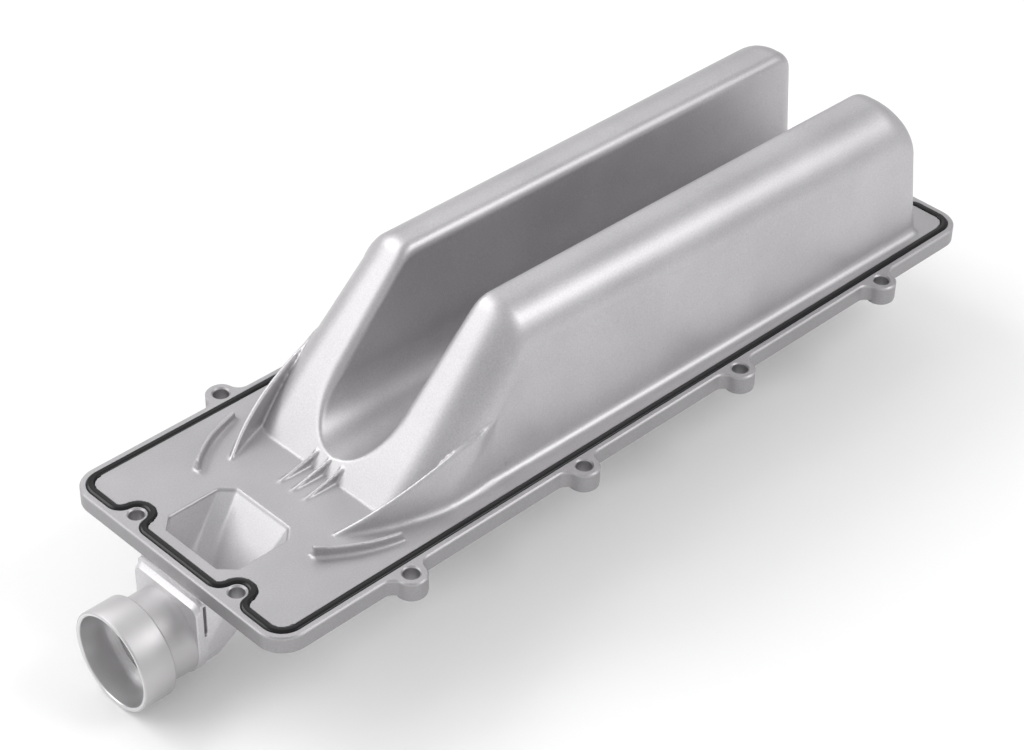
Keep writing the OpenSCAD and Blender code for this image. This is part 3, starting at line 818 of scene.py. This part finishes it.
def closed_faces(sides, steps):
    """Faces of a closed profile carried round an axis and back to its start."""
    return [(i * steps + j, i * steps + (j + 1) % steps,
             (i + 1) % sides * steps + (j + 1) % steps, (i + 1) % sides * steps + j)
            for i in range(sides) for j in range(steps)]


boss_section = [(LUG_HOLE, -PLATE_THICK + 0.5), (LUG_HOLE, -LUG_THICK + 0.3),
                (LUG_HOLE + 0.3, -LUG_THICK), (LUG_ROUND - 0.7, -LUG_THICK),
                (BOSS_ROUND, -LUG_THICK + 0.5), (BOSS_ROUND, -PLATE_THICK + 0.5)]
boss_ring = []
for r, z in boss_section:
    boss_ring += [(HOLE_INSET + r * math.cos(a), r * math.sin(a), z)
                  for a in np.linspace(0, 2 * math.pi, 48, endpoint=False)]
pattern_boss = solid("pattern_boss", boss_ring, closed_faces(len(boss_section), 48))
tree, start, end = node_tree("lug_bosses", [("Pattern", "NodeSocketObject"),
                                            ("Metal", "NodeSocketMaterial")])
lay_copies(tree, start, end, start.outputs["Geometry"])
bosses = solid("lug_bosses", [(x, y, 0.0) for x, y, r in holes[:8]], [])
# The bosses lie wholly under the face, so they take the rim's darker painted shade.
run_tree(bosses, tree, {"Pattern": pattern_boss, "Metal": RIM})
bpy.data.objects.remove(pattern_boss)
smooth(bosses, 25)
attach(bosses, "root")
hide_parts("housing")

# Neck and hose socket: a turned collar on a short tube that runs back into the duct
# block. The socket's bore is machined and shows fine turning marks.
NECK_REACH = 30.3
COLLAR_ROUND, COLLAR_LENGTH, SOCKET_ROUND, SOCKET_DEPTH = 21.4, 14.8, 19.4, 14.0
LIP_ROUND, BACK_ROUND, ROOT_ROUND, MOUTH_ROUND = 0.7, 1.1, 0.9, 0.8


def turned_finish(name, dark, pale, gloss):
    """Bright turned metal, with fine rings about the socket's axis."""
    skin = Finish(name)
    place = skin.place()
    marks = skin.node("ShaderNodeMapping", {}, {"Vector": place, "Scale": (6000.0, 60.0, 60.0)})
    rings = skin.noise(marks, 1.0, 1.0)
    clouds = skin.noise(place, 60.0, 2.0)
    skin.set(Base_Color=skin.mix(clouds * 0.7 + rings * 0.3, dark, pale),
             Roughness=gloss + rings * 0.1 + clouds * 0.08,
             Normal=skin.bump(rings, 0.00002, 0.5),
             Metallic=0.9)
    return skin.material


TURNED = turned_finish("turned_collar", (0.56, 0.55, 0.555, 1.0), (0.66, 0.65, 0.655, 1.0), 0.42)
BORED = turned_finish("machined_bore", (0.7, 0.695, 0.7, 1.0), (0.82, 0.815, 0.82, 1.0), 0.26)


def turned(name, profile, count, materials):
    """A piece turned about the socket's axis; each profile point is (x, radius, slot)."""
    points = [p for x, r, _ in profile for p in ring_x(x, r, count)]
    piece = solid(name, points, closed_faces(len(profile), count))
    for material in materials:
        piece.data.materials.append(material)
    for i, face in enumerate(piece.data.polygons):
        face.material_index = profile[i // count][2]
    smooth(piece, 28)
    return piece


def rounded(x, r, radius, start, end, slot):
    """A rounded edge of the profile, about the point (x, r)."""
    return [(px, pr, slot) for px, pr in arc(x, r, radius, start, end, 5)]


front = -NECK_REACH
back = front + COLLAR_LENGTH
profile = rounded(front + LIP_ROUND, COLLAR_ROUND - LIP_ROUND, LIP_ROUND, 180, 90, 0)
profile += rounded(back - BACK_ROUND, COLLAR_ROUND - BACK_ROUND, BACK_ROUND, 90, 0, 0)
profile += rounded(back + ROOT_ROUND, NECK_ROUND + ROOT_ROUND, ROOT_ROUND, 180, 270, 0)
profile += [(1.0, NECK_ROUND, 0), (1.0, DUCT_ROUND, 0)]
profile += [(front + SOCKET_DEPTH, DUCT_ROUND, 1)]
profile += [(front + SOCKET_DEPTH, SOCKET_ROUND, 1)]
profile += rounded(front + MOUTH_ROUND, SOCKET_ROUND + MOUTH_ROUND, MOUTH_ROUND, 270, 180, 1)
neck = turned("neck", profile, 128, [TURNED, BORED])
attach(neck, "root")
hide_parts("housing")

# Shoulder of the duct block: a collar with rounded corners round the neck's root, cast
# with the block. Its front has a bevel, and a narrow ledge under the flange's edge.
BLOCK_REACH, SHOULDER_LENGTH, SHOULDER_STEP, BLOCK_DROP = 3.0, 4.3, 0.7, 2.4
SHOULDER_CORNER = 3.5
shoulder_round = NECK_ROUND + SHOULDER_STEP
ledge, buried = -PLATE_THICK - BLOCK_DROP, -PLATE_THICK + 0.5
rings = []
for x, inset, top in ((-BLOCK_REACH, 0.5, ledge - 1.0),
                      (-BLOCK_REACH + 0.5, 0.0, ledge - 0.6),
                      (-1.1, 0.0, ledge + 0.9),
                      (-0.9, 0.0, buried),
                      (SHOULDER_LENGTH - BLOCK_REACH, 0.0, buried)):
    r = shoulder_round - inset
    ring = arc(r - SHOULDER_CORNER, top - SHOULDER_CORNER, SHOULDER_CORNER, 90, 0, 8)
    ring += arc(0.0, -SOCKET_DROP, r, 0, -180, 48)
    ring += arc(SHOULDER_CORNER - r, top - SHOULDER_CORNER, SHOULDER_CORNER, 180, 90, 8)
    rings.append([(x, y, z) for y, z in ring])
shoulder = loft("block_shoulder", rings)
bore = loft("bore", [ring_x(-6.0, NECK_ROUND - 0.5, 96), ring_x(6.0, NECK_ROUND - 0.5, 96)])
combine(shoulder, [bore, side_slot(1), side_slot(-1)], "DIFFERENCE")
shoulder.data.materials.clear()
shoulder.data.materials.append(CAST)
smooth(shoulder, 25)
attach(shoulder, "root")
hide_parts("housing")

# Seal: black moulded rubber with straight flanks and a round bead, laid in its groove
# along the groove's centreline.
SEAL_HALF, SEAL_DEPTH, SEAL_PROUD, BEAD_SPRING = 1.6, 2.2, 0.6, 0.15


def rubber_finish(name):
    """Smooth black rubber with a faint bloom."""
    skin = Finish(name)
    place = skin.place()
    grain = skin.noise(place, 900.0, 2.0)
    bloom = skin.noise(place, 45.0, 2.0)
    skin.set(Base_Color=skin.mix(bloom, (0.006, 0.006, 0.007, 1.0), (0.013, 0.013, 0.014, 1.0)),
             Roughness=0.14 + bloom * 0.12,
             Normal=skin.bump(grain, 0.00002, 0.4),
             Specular_IOR_Level=0.25)
    return skin.material


RUBBER = rubber_finish("black_rubber")
bead = [(-SEAL_HALF, -SEAL_DEPTH), (SEAL_HALF, -SEAL_DEPTH), (SEAL_HALF, -BEAD_SPRING)]
bead += [(SEAL_HALF * math.cos(a), -BEAD_SPRING + (SEAL_PROUD + BEAD_SPRING) * math.sin(a))
         for a in np.linspace(0, math.pi, 15)[1:-1]]
bead += [(-SEAL_HALF, -BEAD_SPRING)]
profile_piece = solid("bead_section", [(HOLE_INSET - y, -z, 0.0) for y, z in bead],
                      [tuple(range(len(bead)))])
path = seal_line()
path_mesh = bpy.data.meshes.new("seal")
path_mesh.from_pydata([((x - HOLE_INSET) * MM, y * MM, 0.0) for x, y in path],
                      [(i, (i + 1) % len(path)) for i in range(len(path))], [])
seal = bpy.data.objects.new("seal_bead", path_mesh)
bpy.context.scene.collection.objects.link(seal)
tree, start, end = node_tree("seal_sweep", [("Section", "NodeSocketObject"),
                                            ("Rubber", "NodeSocketMaterial")])
line = wire(tree, "GeometryNodeMeshToCurve", {}, {"Mesh": start.outputs["Geometry"]})
upright = wire(tree, "GeometryNodeSetCurveNormal", {"mode": "Z_UP"}, {"Curve": line.outputs[0]})
shape = wire(tree, "GeometryNodeObjectInfo", {}, {"Object": start.outputs["Section"]})
section = wire(tree, "GeometryNodeMeshToCurve", {}, {"Mesh": shape.outputs["Geometry"]})
swept = wire(tree, "GeometryNodeCurveToMesh", {}, {"Curve": upright.outputs[0],
                                                   "Profile Curve": section.outputs[0]})
real = wire(tree, "GeometryNodeRealizeInstances", {}, {"Geometry": swept.outputs[0]})
coat = wire(tree, "GeometryNodeSetMaterial", {}, {"Geometry": real.outputs[0],
                                                  "Material": start.outputs["Rubber"]})
tree.links.new(coat.outputs[0], end.inputs[0])
run_tree(seal, tree, {"Section": profile_piece, "Rubber": RUBBER})
bpy.data.objects.remove(profile_piece)
smooth(seal, 50)
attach(seal, "root")
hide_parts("seal")

# Studio: a plain pale floor that the duct block stands on, a pale room, and four soft
# round lamps. The floor glows a little to the camera and in reflections, to reach white.
FLOOR_HEIGHT, FLOOR_REACH, FLOOR_GLOW = -0.0534, 6, 0.12


def area_lamp(name, place, aim, size, power):
    """A round lamp of this width in metres and power in watts."""
    data = bpy.data.lights.new(name, "AREA")
    data.shape, data.size, data.energy = "DISK", size, power
    lamp = bpy.data.objects.new(name, data)
    lamp.location = place
    lamp.rotation_euler = (Vector(aim) - Vector(place)).to_track_quat("-Z", "Y").to_euler()
    bpy.context.scene.collection.objects.link(lamp)


floor_mesh = bpy.data.meshes.new("floor")
floor_mesh.from_pydata([(x * FLOOR_REACH, y * FLOOR_REACH, FLOOR_HEIGHT)
                        for x, y in ((-1, -1), (1, -1), (1, 1), (-1, 1))], [], [(0, 1, 2, 3)])
floor = bpy.data.objects.new("floor", floor_mesh)
bpy.context.scene.collection.objects.link(floor)
paper = Finish("pale_floor")
ray = paper.node("ShaderNodeLightPath", {}, {})
seen = (ray + Value(paper, ray.socket.node.outputs["Is Glossy Ray"])
        + Value(paper, ray.socket.node.outputs["Is Transmission Ray"]))
paper.set(Base_Color=(0.86, 0.86, 0.86, 1.0), Roughness=0.95,
          Emission_Color=(1.0, 1.0, 1.0, 1.0), Emission_Strength=seen.clamp() * FLOOR_GLOW)
floor.data.materials.append(paper.material)

world = bpy.data.worlds.new("studio")
world.use_nodes = True
bpy.context.scene.world = world
world.node_tree.nodes["Background"].inputs["Color"].default_value = (0.57, 0.57, 0.575, 1.0)

area_lamp("key", (-0.05, 1.05, 1.05), (0.15, 0.0, 0.0), 0.8, 6.5)
area_lamp("front", (-0.8, 0.72, 0.95), (0.1, 0.0, 0.0), 1.25, 7.2)
area_lamp("side", (0.78, -0.82, 1.0), (0.2, 0.0, 0.02), 0.7, 6.0)
area_lamp("back", (1.0, 0.8, 1.05), (0.15, 0.0, 0.0), 1.1, 1.8)

bpy.context.scene.view_settings.view_transform = "Standard"
